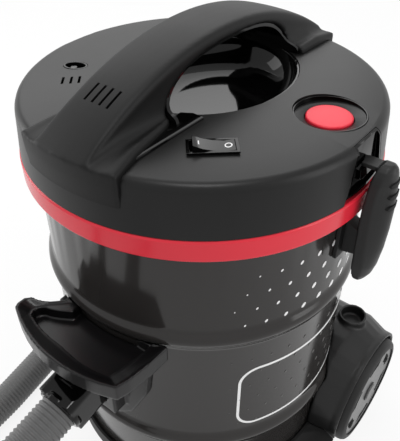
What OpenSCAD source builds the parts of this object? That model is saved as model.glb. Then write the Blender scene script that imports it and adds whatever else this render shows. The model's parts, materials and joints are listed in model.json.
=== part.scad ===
// Drum vacuum cleaner on wheels: painted steel drum, plastic head with a
// carrying handle, side latches, tool tray, hose and rear wheel pods.
// Units mm. Floor at z = 0, front towards -Y, left towards -X.

/* [Drum] */
// outside radius of the drum wall
drum_r = 163; // [150:0.5:180]
// thickness of the drum's sheet
drum_wall = 1.4; // [0.8:0.1:3]
// height of the drum's underside above the floor
drum_floor_z = 58; // [50:1:80]
// how far a rolled rib stands out
rib_bulge = 5.5; // [2:0.5:8]
// height of a rolled rib
rib_h = 30; // [15:1:40]
// underside of the lower rib
rib_low_z = 120; // [90:1:160]
// underside of the upper rib
rib_high_z = 286; // [240:1:320]

/* [Ring] */
// how far the red ring stands out from the drum's wall
ring_out = 12; // [8:0.5:20]
// top of the red ring above the floor
ring_top_z = 430; // [400:1:460]
// height of the red ring
ring_h = 21.5; // [12:0.5:30]

/* [Head] */
// how far the head's lower edge lies inside the ring
head_in = 1; // [0.5:0.5:3]
// height of the head's rim above the ring
head_h = 48; // [40:1:60]
// how far the middle of the top stands above its rim
head_dome = 4; // [0:0.5:10]
// thickness of the head's plastic wall
head_wall = 3; // [2:0.5:4]
// half width of the hand well
well_rx = 76; // [60:1:90]
// half length of the hand well
well_ry = 92; // [70:1:100]
// middle of the hand well behind the drum's axis
well_y = 18; // [0:1:30]

/* [Handle] */
// top of the handle above the ring
handle_top = 106; // [90:1:120]
// radius of the handle's long arc
handle_arc_r = 313; // [250:1:400]
// half width of the handle's top
handle_half = 28; // [20:0.5:34]
// half width of the handle's skirt
skirt_half = 46; // [36:0.5:55]
// half length of the opening under the handle
arch_half = 93; // [80:1:100]
// height of the opening above its springing
arch_h = 51; // [40:1:60]
// middle of the opening behind the drum's axis
arch_y = 8; // [0:1:20]

/* [Controls] */
// distance of the switch from the drum's axis
switch_rad = 121.5; // [100:0.5:140]
// direction of the switch, from the front towards the right
switch_az = 41.8; // [30:0.1:60]
// radius of the rewind button
button_r = 20.5; // [15:0.1:24]
// travel of the rewind button
button_travel = 4; // [2:0.5:6]

/* [Latches] */
// half width of a latch lever
lever_half = 14; // [11:0.5:20]
// how far a lever's pin stands out from the ring
pin_out = 10; // [8:0.5:15]
// how far a lever's pin lies below the ring's top
pin_drop = 52; // [45:1:60]
// radius of a lever's pin
pin_r = 3; // [2:0.1:4]

/* [Wheels] */
// radius of a rear wheel
wheel_r = 72; // [66:1:78]
// rear wheels' axis behind the drum's axis
wheel_y = 88; // [80:1:95]
// how far a rear wheel's outer face stands out from the drum's wall
wheel_out = 45; // [42:0.5:55]
// width of a tyre
tyre_w = 20; // [16:0.5:21]
// radius of the rear axle
axle_r = 6; // [4:0.5:8]
// radius of a front caster wheel
caster_r = 20; // [15:1:25]
// sideways place of a front caster
caster_x = 85; // [60:1:110]
// place of a front caster ahead of the drum's axis
caster_y = 100; // [80:1:120]

/* [Tray_and_inlet] */
// top of the tool tray
tray_top = 297; // [280:1:310]
// height of the tool tray
tray_h = 19; // [12:1:30]
// downward tilt of the hose connector
inlet_tilt = 12; // [0:0.1:40]
// height of the hose connector's end
inlet_end_z = 214; // [180:1:240]
// reach of the hose connector's end ahead of the drum's wall
inlet_reach = 64; // [55:1:70]
// outside diameter of the hose
hose_d = 42; // [30:1:50]

/* [Fits] */
// space between two fixed pieces
gap = 0.3; // [0.1:0.1:0.5]
// radial space of a running fit
run = 0.05; // [0.01:0.01:0.1]

/* [Hidden] */
$fn = 96;
// the drum's axis lies behind the middle of the whole
axis_y = 28.547;
// the head and all that hangs from it are drawn at this height, then raised onto the ring
head_datum = 430;
head_bottom = head_datum + 0.4;
rim_z = head_datum + head_h;
pin_z = ring_top_z - pin_drop;
rim_round = 8;
ring_r = drum_r + ring_out;
head_r = ring_r - head_in;
pin_x = ring_r + pin_out;
wheel_x = drum_r + wheel_out;
inlet_end_y = drum_r + inlet_reach;
hub_x = drum_r + 6.5;
// pod beside the drum: its outer wall, and the lip that wraps the tyre
pod_x = drum_r + 3.5;
lip_x = wheel_x - 8;
lip_r = wheel_r + 8;
pod_floor = 54.3;
deck_z = 49;
deck_h = 15;
sw_x = switch_rad * sin(switch_az);
sw_y = -switch_rad * cos(switch_az);
btn_x = 124.6;
btn_y = 15.5;
inlet_len = 75;
inlet_y0 = -inlet_end_y + inlet_len * cos(inlet_tilt);
inlet_z0 = inlet_end_z + inlet_len * sin(inlet_tilt);
slot_x = pin_x + 9;
well_r = button_r + 11.1;

// centre line of the hose, from the connector to its far cuff
HOSE = [
  [0, -inlet_end_y - gap, inlet_end_z - 0.1], [0, -inlet_end_y - 35, inlet_end_z - 7.5],
  [-1, -298, 197.5], [0, -335, 185], [5, -372, 168],
  [14, -409, 146], [26, -445, 120.5], [41, -481, 93], [58, -518, 67], [77, -557, 44],
  [95, -598, 28], [107, -643, 21.2], [104, -692, 21.2], [84, -738, 21.2],
  [45, -778, 21.2], [-8, -803, 21.2], [-67, -808, 21.2], [-126, -796, 21.2],
  [-178, -763, 21.2], [-215, -710, 21.2], [-230, -648, 21.2], [-226, -590, 21.2],
  [-216, -530, 21.2], [-204, -465, 21.2], [-193, -400, 21.2], [-185, -335, 21.2],
  [-183, -270, 21.2], [-187, -205, 21.2], [-195, -155, 21.2], [-204, -108, 21.2],
  [-219, -50, 21.2], [-232, 10, 21.2], [-239, 75, 23], [-241, 140, 23]
];

function arc(r, a0, a1, n, cx, cy) =
  [for (i = [0:n]) let (a = a0 + (a1 - a0) * i / n) [cx + r * cos(a), cy + r * sin(a)]];
function flip(v) = [for (i = [len(v) - 1:-1:0]) v[i]];
function rib(r, z0) =
  [for (i = [0:10]) [r + rib_bulge * (1 - cos(36 * i)) / 2, z0 + rib_h * i / 10]];
function wall_line(r, z0, c) = concat(
  arc(c, -90, 0, 5, r - c, z0 + c), rib(r, rib_low_z), rib(r, rib_high_z));
function unit(v) = v / norm(v);
function sgn_pow(v, p) = sign(v) * pow(abs(v), p);

// a closed skin through rings of points; each ring runs the same way round
module loft(rings) {
  n = len(rings[0]);
  m = len(rings);
  polyhedron(
    points = [for (r = rings) each r],
    faces = concat(
      [[for (i = [0:n - 1]) i]],
      [for (j = [0:m - 2]) for (i = [0:n - 1])
        [j * n + i, (j + 1) * n + i, (j + 1) * n + (i + 1) % n]],
      [for (j = [0:m - 2]) for (i = [0:n - 1])
        [j * n + i, (j + 1) * n + (i + 1) % n, j * n + (i + 1) % n]],
      [[for (i = [n - 1:-1:0]) (m - 1) * n + i]]),
    convexity = 6);
}

// a round bar along a line of points, side direction kept level
function bar_rings(path, r, sides) = let (n = len(path)) [for (i = [0:n - 1])
  let (t = unit(path[min(i + 1, n - 1)] - path[max(i - 1, 0)]),
    s = unit(cross(t, [0, 0, 1])), u = cross(s, t))
  [for (k = [0:sides - 1]) let (a = -360 * k / sides)
    path[i] + r * cos(a) * s + r * sin(a) * u]];
module bar(path, r, sides) {
  loft(bar_rings(path, r, sides));
}

// the same bar with a round hole all through it
module pipe(path, r, wall, sides) {
  n = len(path);
  rings = concat(bar_rings(path, r, sides), flip(bar_rings(path, r - wall, sides)));
  m = len(rings);
  polyhedron(points = [for (r = rings) each r],
    faces = [for (j = [0:m - 1]) for (i = [0:sides - 1]) for (h = [0, 1])
      let (k = (j + 1) % m, i2 = (i + 1) % sides)
      h == 0 ? [j * sides + i, k * sides + i, k * sides + i2]
        : [j * sides + i, k * sides + i2, j * sides + i2]],
    convexity = 8);
}
module at_axis() {
  translate([0, axis_y, 0]) children();
}
module at_head() {
  translate([0, axis_y, ring_top_z - head_datum]) children();
}
module side(right) {
  if (right) children();
  else mirror([1, 0, 0]) children();
}
module along_y(y0, y1) {
  translate([0, y1, 0]) rotate([90, 0, 0]) linear_extrude(y1 - y0) children();
}
// children drawn in (y, z) become a prism from x0 to x1
module along_x(x0, x1) {
  translate([x0, 0, 0]) rotate([90, 0, 90]) linear_extrude(x1 - x0) children();
}
module rod_x(r, x0, x1, y, z) {
  translate([x0, y, z]) rotate([0, 90, 0]) cylinder(r = r, h = x1 - x0);
}
module rod_y(r, y0, y1, x, z) {
  translate([x, y1, z]) rotate([90, 0, 0]) cylinder(r = r, h = y1 - y0);
}
module tube(r_out, r_in, z0, z1) {
  difference() {
    translate([0, 0, z0]) cylinder(r = r_out, h = z1 - z0);
    translate([0, 0, z0 - 1]) cylinder(r = r_in, h = z1 - z0 + 2);
  }
}

// ---------------- drum ----------------
module drum_solid(g) {
  rotate_extrude()
    polygon(concat([[0, 40]], [[drum_r - 8 + g, 40]], [for (p = wall_line(drum_r, drum_floor_z, 8))
      [p[0] + g, p[1]]], [[drum_r + g, 400], [0, 400]]));
}
module drum() {
  lip = ring_top_z - ring_h + 2.3;
  color([0.2, 0.2, 0.2]) at_axis() difference() {
    rotate_extrude() polygon(concat(
      [[0, drum_floor_z]], wall_line(drum_r, drum_floor_z, 8),
      [[drum_r, lip], [drum_r + 4.5, lip + 1.8], [drum_r + 4.5, ring_top_z - 2.4],
       [drum_r + 4.5 - drum_wall, ring_top_z - 2.4], [drum_r + 4.5 - drum_wall, lip + 2.6],
       [drum_r - drum_wall, lip + 0.8]],
      flip(wall_line(drum_r - drum_wall, drum_floor_z + drum_wall, 8 - drum_wall)),
      [[0, drum_floor_z + drum_wall]]));
    inlet_place() translate([0, 0, -30]) cylinder(r = 17.4, h = 60);
  }
}
module drum_ring() {
  z = ring_top_z;
  color([0.8, 0.05, 0.08]) at_axis() rotate_extrude() polygon([
    [drum_r + 1.5, z - ring_h], [ring_r - 1.6, z - ring_h], [ring_r, z - ring_h + 1.6],
    [ring_r, z - 1.6], [ring_r - 1.6, z], [drum_r - 13, z], [drum_r - 13, z - 2],
    [drum_r + 5, z - 2], [drum_r + 5, z - ring_h + 1.7], [drum_r + 1.5, z - ring_h + 1.7]]);
}
module head_gasket() {
  color([0.05, 0.05, 0.05]) at_axis() tube(drum_r - 5, drum_r - 11, ring_top_z + gap, ring_top_z + 2.2);
}

// ---------------- chassis ----------------
// deck of the chassis beside the drum, ahead of a pod and round the tyre's front
DECK = [[-43, 40.5], [pod_x - drum_r + 20, 40.5], [wheel_out - tyre_w - 1.3, 36],
  [wheel_out - tyre_w - 1.3, 8], [38, 4.5], [36.5, -14], [22, -50], [-3, -86], [-43, -124]];
module base_tray() {
  color([0.07, 0.07, 0.07]) at_axis() difference() {
    union() {
      translate([0, 0, 53.7]) cylinder(r = drum_r - 5, h = 4);
      rotate_extrude() polygon([[drum_r - 7, 44], [drum_r + 4.3, 44], [drum_r + 4.3, 65],
        [drum_r + 1.3, 65], [drum_r + 0.6, 62], [drum_r - 3, 57.7], [drum_r - 7, 57.7]]);
      for (right = [false, true]) side(right) difference() {
        translate([drum_r, 0, deck_z]) linear_extrude(deck_h) polygon(DECK);
        translate([0, 0, 40]) cylinder(r = drum_r + 3, h = 40);
      }
      for (s = [-1, 1]) translate([s * caster_x, -caster_y, 43.5]) cylinder(r = 12, h = 12);
      for (s = [-1, 1]) translate([s * (drum_r - 30) - 30, 35, 47]) cube([60, 115, 7]);
      for (a = [0, 60, 120]) rotate(a + 15) translate([4 - drum_r, -2, 46]) cube([2 * drum_r - 8, 4, 8.5]);
    }
    for (s = [-1, 1]) translate([s * caster_x, -caster_y, 40]) cylinder(r = 5 + run, h = 14);
  }
}
// outline of a pod beside the drum, round over the wheel
function pod_reach(a) = wheel_r + 13 + 6 * sin(a);
function round_wheel(a, r) = [wheel_y - r * cos(a), wheel_r + r * sin(a)];
POD = concat([[wheel_y - pod_reach(0) + 3, pod_floor]],
  [for (i = [0:16]) round_wheel(11.25 * i, pod_reach(11.25 * i))],
  [[wheel_y + pod_reach(180), pod_floor]]);
POD_EDGE = concat([[wheel_y - lip_r + 2.6, pod_floor]],
  [for (i = [0:16]) round_wheel(11.25 * i, lip_r - 1)],
  [[wheel_y + lip_r - 2.6, pod_floor]]);
module pod_prism(x0, x1, g) {
  along_x(x0, x1) polygon([for (p = POD)
    [p[0] + (p[0] < wheel_y ? g : -g), p[1] > 60 ? p[1] - g : p[1] - 2 * g]]);
}
module fender(right) {
  cup_x = drum_r - 6;
  cup_y = wheel_y + 18;
  cup_z = 2 * wheel_r + 26.5;
  n = len(POD);
  color([0.11, 0.11, 0.11]) at_axis() side(right) difference() {
    union() {
      difference() {
        union() {
          difference() {
            pod_prism(drum_r - 63, pod_x, 0);
            pod_prism(drum_r - 73, pod_x - 3, 3);
          }
          loft([[for (i = [n - 1:-1:0]) [pod_x, POD[i][0], POD[i][1]]],
            [for (i = [n - 1:-1:0]) [lip_x - 6, POD_EDGE[i][0], POD_EDGE[i][1]]]]);
          difference() {
            rod_x(lip_r, lip_x - 7.5, lip_x, wheel_y, wheel_r);
            translate([drum_r, -20, -80]) cube([60, 240, 80 + pod_floor]);
          }
        }
        rod_x(wheel_r + 3.5, pod_x, wheel_x + 5, wheel_y, wheel_r);
      }
      translate([cup_x, cup_y, cup_z - 18.5]) cylinder(r = 17, h = 18.5);
      rod_x(11, drum_r - 13, hub_x - gap, wheel_y, wheel_r);
    }
    translate([cup_x, cup_y, cup_z - 14]) cylinder(r = 14, h = 30);
    rod_x(axle_r, drum_r - 23, hub_x + 10, wheel_y, wheel_r);
    drum_solid(0.6);
    translate([0, 0, 30]) cylinder(r = drum_r + 7, h = 36);
    translate([drum_r, 0, deck_z - gap]) linear_extrude(deck_h + 2 * gap) offset(delta = gap) polygon(DECK);
  }
}
module axle(right) {
  color([0.6, 0.6, 0.62]) at_axis() side(right)
    rod_x(axle_r, drum_r - 12, wheel_x - 8, wheel_y, wheel_r);
}
module wheel(right) {
  rim = wheel_r - 10;
  color([0.25, 0.25, 0.25]) at_axis() side(right) difference() {
    union() {
      rod_x(rim - 0.1, wheel_x - tyre_w, wheel_x - 2, wheel_y, wheel_r);
      rod_x(14, hub_x, wheel_x - 4, wheel_y, wheel_r);
    }
    difference() {
      rod_x(rim - 4, wheel_x - tyre_w - 1, wheel_x - 7, wheel_y, wheel_r);
      rod_x(14, hub_x - 1, wheel_x - 7, wheel_y, wheel_r);
    }
    rod_x(axle_r + run, hub_x - 1, wheel_x - 6.5, wheel_y, wheel_r);
    for (k = [0:5]) along_x(wheel_x - 15, wheel_x + 5)
      polygon([for (p = concat(arc(rim - 8, k * 60 + 10, k * 60 + 50, 8, 0, 0),
        flip(arc(rim - 20, k * 60 + 14, k * 60 + 46, 6, 0, 0)))) [p[0] + wheel_y, p[1] + wheel_r]]);
  }
}
module tyre(right) {
  x0 = wheel_x - tyre_w;
  color([0.04, 0.04, 0.04]) at_axis() side(right)
    translate([0, wheel_y, wheel_r]) rotate([0, 90, 0]) rotate_extrude() polygon([
      [wheel_r - 10, x0], [wheel_r - 3, x0], [wheel_r - 0.6, x0 + 1.5], [wheel_r, x0 + 4],
      [wheel_r, wheel_x - 9], [wheel_r - 0.8, wheel_x - 5], [wheel_r - 2.8, wheel_x - 1.8],
      [wheel_r - 5.5, wheel_x - 0.4], [wheel_r - 8, wheel_x], [wheel_r - 10, wheel_x]]);
}
module hubcap(right) {
  color([0.3, 0.3, 0.3]) at_axis() side(right) union() {
    rod_x(13, wheel_x - 1.8, wheel_x + 0.2, wheel_y, wheel_r);
    rod_x(11, wheel_x, wheel_x + 1, wheel_y, wheel_r);
  }
}
module caster_fork(right) {
  color([0.1, 0.1, 0.1]) at_axis() side(right) translate([caster_x, -caster_y, 0]) difference() {
    union() {
      cylinder(r = 0.1, h = 0.1);
      translate([0, 0, 40.4]) cylinder(r = 15, h = 2.8);
      translate([0, 0, 41]) cylinder(r = 5, h = 12.2);
      for (s = [-1, 1]) translate([s * 12.5 - 2, -2, 12]) cube([4, 27, 29]);
    }
    translate([-5, -5, -1]) cube([10, 10, 3]);
    rod_x(2.5, -20, 20, 18, caster_r);
  }
}
module caster_wheel(right) {
  color([0.05, 0.05, 0.05]) at_axis() side(right) translate([caster_x, 18 - caster_y, caster_r])
    rotate([0, 90, 0]) rotate_extrude() polygon([[2.5 + run, -9], [16, -9], [18.6, -8],
      [caster_r, -5.5], [caster_r, 5.5], [18.6, 8], [16, 9], [2.5 + run, 9]]);
}
module caster_pin(right) {
  color([0.6, 0.6, 0.6]) at_axis() side(right) translate([caster_x, -caster_y, 0])
    rod_x(2.5, -14.5, 14.5, 18, caster_r);
}

// ---------------- inlet, tray and hose ----------------
module inlet_place() {
  translate([0, inlet_y0, inlet_z0]) rotate([90 + inlet_tilt, 0, 0]) children();
}
module soft_square(h, c) {
  polygon(concat(arc(c, 0, 90, 6, h - c, h - c), arc(c, 90, 180, 6, c - h, h - c),
    arc(c, 180, 270, 4, c - h, c - h), arc(c, 270, 360, 4, h - c, c - h)));
}
module connector_body(g) {
  translate([0, 0, -8]) linear_extrude(inlet_len + 6) soft_square(23 + g, 7);
}
SCREWS = [[-48, 262], [48, 262], [0, 172]];
function screw_seat(p) = sqrt(pow(drum_r + 9, 2) - p[0] * p[0]);
module inlet_housing() {
  color([0.16, 0.16, 0.16]) at_axis() difference() {
    union() {
      intersection() {
        along_y(-drum_r - 27, 0) polygon([[-60, 277.6], [-60, 250], [-56, 215], [-38, 176], [-22, 163.5],
          [22, 163.5], [38, 176], [56, 215], [60, 250], [60, 277.6]]);
        tube(drum_r + 9, drum_r - 13, 150, 290);
      }
      intersection() {
        translate([-34, -drum_r - 23, 190]) cube([68, 60, 87.6]);
        tube(drum_r + 27, drum_r - 13, 150, 290);
      }
    }
    drum_solid(gap);
    connector_body_placed(gap);
    for (p = SCREWS) {
      rod_y(2.2, -drum_r - 37, 13 - drum_r, p[0], p[1]);
      rod_y(4.4, -drum_r - 37, -screw_seat(p), p[0], p[1]);
    }
  }
}
module connector_body_placed(g) {
  inlet_place() connector_body(g);
}
module housing_screw() {
  color([0.5, 0.5, 0.5]) at_axis() for (p = SCREWS) {
    r = screw_seat(p);
    rod_y(4, -r - 2.6, -r - 0.3, p[0], p[1]);
    rod_y(2, -r - 0.4, -r + 7, p[0], p[1]);
  }
}
// outline of the tray: sideways place, and place behind the front of the drum's wall
TRAY_PLAN = concat([[-40, 13], [-42, -4], [-54, -16], [-62, -21.5], [-68, -23.5], [-72.5, -29],
  [-73, -36], [-70, -42]],
  [for (i = [1:9]) let (t = i / 10) [-70 + 142 * t, -42 - 5 * t - 68 * t * (1 - t)]],
  [[72, -47], [75.5, -34], [78, -12], [79, 13]]);
TRAY = [for (p = TRAY_PLAN) [p[0], p[1] - drum_r]];
function tray_in(p, d) = let (c = [0, -17 - drum_r]) p + d * unit(c - p);
module tool_tray() {
  z1 = tray_top;
  z0 = tray_top - tray_h;
  color([0.16, 0.16, 0.16]) at_axis() difference() {
    translate([0, 0, z0]) linear_extrude(tray_h) polygon(TRAY);
    hull() {
      translate([0, 0, z1 + 0.01]) linear_extrude(1) polygon([for (p = TRAY) tray_in(p, 3)]);
      translate([0, 0, z1 - 5]) linear_extrude(1) polygon([for (p = TRAY) tray_in(p, 15)]);
    }
    translate([0, 0, z0 + 3]) linear_extrude(tray_h) polygon([for (p = TRAY) tray_in(p, 18)]);
    drum_solid(gap);
  }
}
module hose_connector() {
  color([0.03, 0.03, 0.03]) at_axis() difference() {
    inlet_place() difference() {
      union() {
        connector_body(0);
        translate([0, 0, inlet_len - 6]) cylinder(r = 24.5, h = 6);
      }
      translate([0, 0, -10]) cylinder(r = 17, h = inlet_len + 1);
      translate([-9.3, 18.6, 38.7]) cube([18.6, 8, 16.6]);
    }
    drum_solid(gap);
  }
}
module connector_release() {
  color([0.06, 0.06, 0.06]) at_axis() inlet_place() union() {
    translate([-9, 20.6, 39]) cube([18, 3.6, 16]);
    translate([-6, 24, 41]) cube([12, 0.8, 2]);
    translate([-6, 24, 52]) cube([12, 0.8, 2]);
  }
}
module hose() {
  color([0.45, 0.45, 0.45]) at_axis() pipe(HOSE, hose_d / 2, 2, 12);
}
module hose_cuff() {
  e = HOSE[len(HOSE) - 1];
  color([0.05, 0.05, 0.05]) at_axis() translate([e[0], e[1] + 0.2, e[2]]) rotate([-90, 0, 1.8]) difference() {
    union() {
      cylinder(r = 22.6, h = 24);
      translate([0, 0, 23]) cylinder(r = 19, h = 40);
    }
    translate([0, 0, 30]) cylinder(r = 16, h = 40);
  }
}

// ---------------- latches ----------------
module latch_bracket(right) {
  color([0.07, 0.07, 0.07]) at_axis() side(right) difference() {
    union() {
      intersection() {
        tube(drum_r + 3.8, drum_r + gap, pin_z - 20, pin_z + 22);
        translate([drum_r - 63, -16, pin_z - 20]) cube([90, 32, 42]);
      }
      along_y(-7.5, 7.5) polygon([[drum_r + 2, pin_z - 16], [drum_r + 2, pin_z + 19], [pin_x - 8, pin_z + 14],
        [pin_x + 1, pin_z + 8], [pin_x + 4.5, pin_z + 5], [pin_x + 5, pin_z - 5], [pin_x - 1.5, pin_z - 12]]);
    }
    rod_y(pin_r, -20, 20, pin_x, pin_z);
  }
}
module latch_pin(right) {
  color([0.6, 0.6, 0.6]) at_axis() side(right) rod_y(pin_r, -12.4, 12.4, pin_x, pin_z);
}
// each row: height above the pin, then from the pin outwards the inner face,
// the outer face at the side and in the middle, and how far the half width draws in
LEVER = [[-40, -0.4, 1.2, 3.6, 6], [-37, -2, 3.4, 7.4, 3], [-31, -3.5, 5, 10.6, 1],
  [-20, -4.8, 5.8, 13.2, 0], [0, -5.2, 5, 15.4, 0], [22, -6.1, 3.8, 16.2, 0],
  [42, -6.2, 3.3, 16, 0], [57, -5.5, 3.6, 15, 0], [69, -4.3, 5, 13.6, 0],
  [75, -3.6, 5.5, 12.6, 1.3], [79.5, -2.6, 5.8, 11.6, 4.1], [82.5, -1.4, 5.6, 10, 7.6],
  [84, 0, 4.6, 8, 11]];
function lever_ring(q) = let (w = lever_half - q[4]) concat([[pin_x + q[1], -w, pin_z + q[0]]],
  [for (i = [-6:6]) let (t = i / 6)
    [pin_x + q[2] + (q[3] - q[2]) * (1 - pow(abs(t), 2.2)), w * t, pin_z + q[0]]],
  [[pin_x + q[1], w, pin_z + q[0]]]);
nose_z = pin_z + 77;
module latch_lever(right) {
  color([0.14, 0.14, 0.14]) at_axis() side(right) difference() {
    union() {
      loft([for (q = LEVER) lever_ring(q)]);
      translate([pin_x - 17, -7, nose_z]) cube([18, 14, 4]);
    }
    translate([drum_r - 13, -8, pin_z - 20]) cube([slot_x - drum_r + 13, 16, 39]);
    translate([drum_r - 13, -8, pin_z - 48]) cube([pin_x + 3 - drum_r + 13, 16, 29]);
    rod_y(pin_r + run, -12.6, 12.6, pin_x, pin_z);
    for (z = [47, 58, 69]) rod_y(2.4, -8, 8, pin_x + (z > 60 ? 14.8 : 16.2), pin_z + z);
  }
}
// notch in the head's side for a keeper: its walls lean together upwards
function notch_half(z) = 33 - (z - head_datum) * 0.28;
module notch(x0, x1, g, z0) {
  z1 = head_datum + 70;
  along_x(x0, x1) polygon([[g - notch_half(z0), z0], [notch_half(z0) - g, z0],
    [notch_half(z1) - g, z1], [g - notch_half(z1), z1]]);
}
notch_x = head_r - 10;
module latch_keeper(right) {
  z0 = head_datum + 5 + gap;
  color([0.03, 0.03, 0.03]) at_head() side(right) intersection() {
    head_solid(-0.2);
    union() {
      difference() {
        notch(notch_x + gap, head_r + 2, gap, z0);
        notch(notch_x + gap + 2.4, head_r + 10, gap + 2.4, z0 + 2.4);
      }
      translate([notch_x + 1, -13, nose_z - ring_top_z + head_datum - 9]) cube([9, 26, 8.7]);
    }
  }
}

// ---------------- head ----------------
function head_line(g, w) = concat(
  [[head_r - w + g, head_bottom], [head_r - 0.6 - w + g, head_bottom + 9.6]],
  arc(rim_round - w + g, 0, 90, 6, head_r - 3 - rim_round, rim_z - rim_round),
  [for (r = [140, 115, 90, 60, 30, 0])
    [r, rim_z + head_dome * (1 - pow(r / (head_r - 11), 2)) - w + g]]);
module head_solid(g) {
  rotate_extrude() polygon(concat([[0, head_bottom - 6]], [[head_r + g, head_bottom - 6]],
    head_line(g, 0)));
}
module well_outline(g) {
  polygon([for (i = [0:59]) [(well_rx + g) * cos(6 * i), well_y + (well_ry + g) * sin(6 * i)]]);
}
module switch_place() {
  translate([sw_x, sw_y, 0]) rotate(switch_az) children();
}
module head_shell() {
  color([0.17, 0.17, 0.17]) at_head() difference() {
    rotate_extrude() polygon(concat(head_line(0, 0), flip(head_line(0, head_wall))));
    translate([0, 0, 450]) linear_extrude(60) well_outline(gap);
    for (right = [false, true]) side(right) notch(notch_x, head_r + 20, 0, head_datum - 3);
    translate([btn_x, btn_y, 460]) cylinder(r = well_r + gap, h = 30);
    switch_place() translate([-19.3, -9.6, 460]) cube([38.6, 19.2, 40]);
    translate([-113, -54, 460]) rotate(25.6) linear_extrude(30)
      polygon([for (i = [0:23]) [12.4 * cos(15 * i), 8.9 * sin(15 * i)]]);
    for (p = [[-98, -83.5], [-92, -78.5], [-86.5, -73.5]])
      translate([p[0], p[1], 460]) rotate(-48.6) translate([-7, -1.2, 0]) cube([14, 2.4, 30]);
  }
}
module head_pan() {
  color([0.06, 0.06, 0.06]) at_head() union() {
    translate([0, 0, head_bottom + 2.1]) cylinder(r = head_r - 5.5, h = 2.5);
    translate([0, 0, 403]) cylinder(r = 6, h = 30);
  }
}
function handle_z(y) = head_datum + handle_top - handle_arc_r + sqrt(pow(handle_arc_r, 2) - y * y);
// right half of the handle's cross section for a top at height t: a rolled skirt,
// a hollow flank and a rounded shoulder
function bell(t, w) = let (b = 480.6, h = t - b, k = min(8, 0.3 * h), c = min(1, h / 12)) [
  [skirt_half - w, 440], [skirt_half - w, b - 0.6], [skirt_half - 0.5 - w, b + 0.45 * k],
  [skirt_half - 2.4 - w, b + 0.8 * k], [skirt_half - 5.5 - w, b + k],
  [38 - w, b + k + 0.03 * (h - k)], [34.6 - w, b + k + 0.08 * (h - k)],
  [32 - w, b + k + 0.17 * (h - k)], [30.2 - w, b + k + 0.3 * (h - k)],
  [29 - w, b + k + 0.48 * (h - k)], [handle_half + 0.2 - w, b + k + 0.68 * (h - k)],
  [handle_half - 0.1 - w, t - 3.4 * c], [handle_half - 1.2 - w, t - 1.7 * c],
  [handle_half - 3.2 - w, t - 0.5 * c], [15, t + 0.5], [5, t + 0.9]];
function handle_ring(y, w) = let (s = bell(handle_z(y) - w, w))
  [for (p = concat(s, [for (q = flip(s)) [-q[0], q[1]]])) [p[0], y, p[1]]];
module handle_body(w, y0, y1) {
  loft([for (i = [24:-1:0]) handle_ring(y0 + (y1 - y0) * i / 24, w)]);
}
module arch(g, x) {
  along_x(-x, x) polygon(concat([for (i = [0:30]) let (a = 6 * i)
    [arch_y + (arch_half + g) * sgn_pow(cos(a), 0.77), 470 + (arch_h + g) * sgn_pow(sin(a), 0.77)]],
    [[arch_y - arch_half - g, 440], [arch_y + arch_half + g, 440]]));
}
module handle_ends(w) {
  intersection() {
    rotate_extrude() polygon([[0, 400], [head_r - 1 - w, 400], [head_r - 0.4 - w, 455],
      [head_r + 1.2 - w, 470], [head_r + 1.8 - w, 482], [head_r + 1.8 - w, 560], [0, 560]]);
    union() {
      translate([-80, -200, 400]) cube([160, 200, 200]);
      translate([0, 0, 400]) cylinder(r = head_r - 8 - w, h = 200);
    }
  }
}
module handle_cover() {
  color([0.2, 0.2, 0.2]) at_head() difference() {
    intersection() {
      union() {
        handle_body(0, -head_r - 3, head_r - 4);
        translate([-50, -head_r - 6, 455]) cube([100, 60, 23]);
      }
      handle_ends(0);
      translate([-80, -200, 455]) cube([160, 400, 120]);
    }
    intersection() {
      handle_body(3, -head_r - 4, head_r - 6);
      handle_ends(3);
      translate([-80, -200, 472]) cube([160, 400, 100]);
    }
    arch(0, 70);
    head_solid(gap);
    for (x = [-12, -4, 4, 12]) translate([x - 1.2, -131, 495]) cube([2.4, 17, 45]);
  }
}
module handle_liner() {
  color([0.09, 0.09, 0.09]) at_head() difference() {
    intersection() {
      handle_body(3.3, -120, 140);
      arch(3, 60);
    }
    arch(0, 70);
    head_solid(gap);
  }
}
function oval(a, b, z) = [for (i = [0:47]) [a * cos(7.5 * i), well_y + b * sin(7.5 * i), z]];
module hand_well() {
  a = well_rx;
  b = well_ry;
  color([0.03, 0.03, 0.03]) at_head() loft([
    oval(a - 36, b - 40, 447), oval(a - 16, b - 18, 449.5), oval(a - 6.5, b - 7.5, 457),
    oval(a - 1.6, b - 2, 468), oval(a - 0.4, b - 0.4, 474.4), oval(a + 6, b + 6, 474.4),
    oval(a + 6, b + 6, 476.6), oval(a, b, 476.6), oval(a, b, 479.6),
    oval(a - 2.4, b - 2.4, 479.6), oval(a - 2.8, b - 2.8, 474), oval(a - 4.2, b - 4.6, 468),
    oval(a - 9, b - 10, 458.6), oval(a - 18, b - 20, 452), oval(a - 38, b - 42, 449.6)]);
}
module button_well() {
  color([0.04, 0.04, 0.04]) at_head() translate([btn_x, btn_y, 0]) union() {
    tube(well_r, well_r - 1.4, 469, 479);
    tube(well_r, button_r + 0.1, 469, 470.6);
    tube(button_r + 2, button_r + 0.1, 454, 470);
    translate([0, 0, 452.4]) cylinder(r = button_r + 2, h = 2);
  }
}
module rewind_button() {
  color([0.85, 0.12, 0.16]) at_head() translate([btn_x, btn_y, 0]) rotate_extrude() polygon([
    [0, 463], [button_r, 463], [button_r, 471.4], [button_r - 0.5, 472.4], [button_r - 1.6, 472.8],
    [0, 473.2]]);
}
module button_spring() {
  color([0.6, 0.6, 0.6]) at_head() translate([btn_x, btn_y, 0])
    bar([for (i = [0:60]) [12 * cos(24 * i), 12 * sin(24 * i), 455.6 + 6.4 * i / 60]], 0.8, 6);
}
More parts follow.
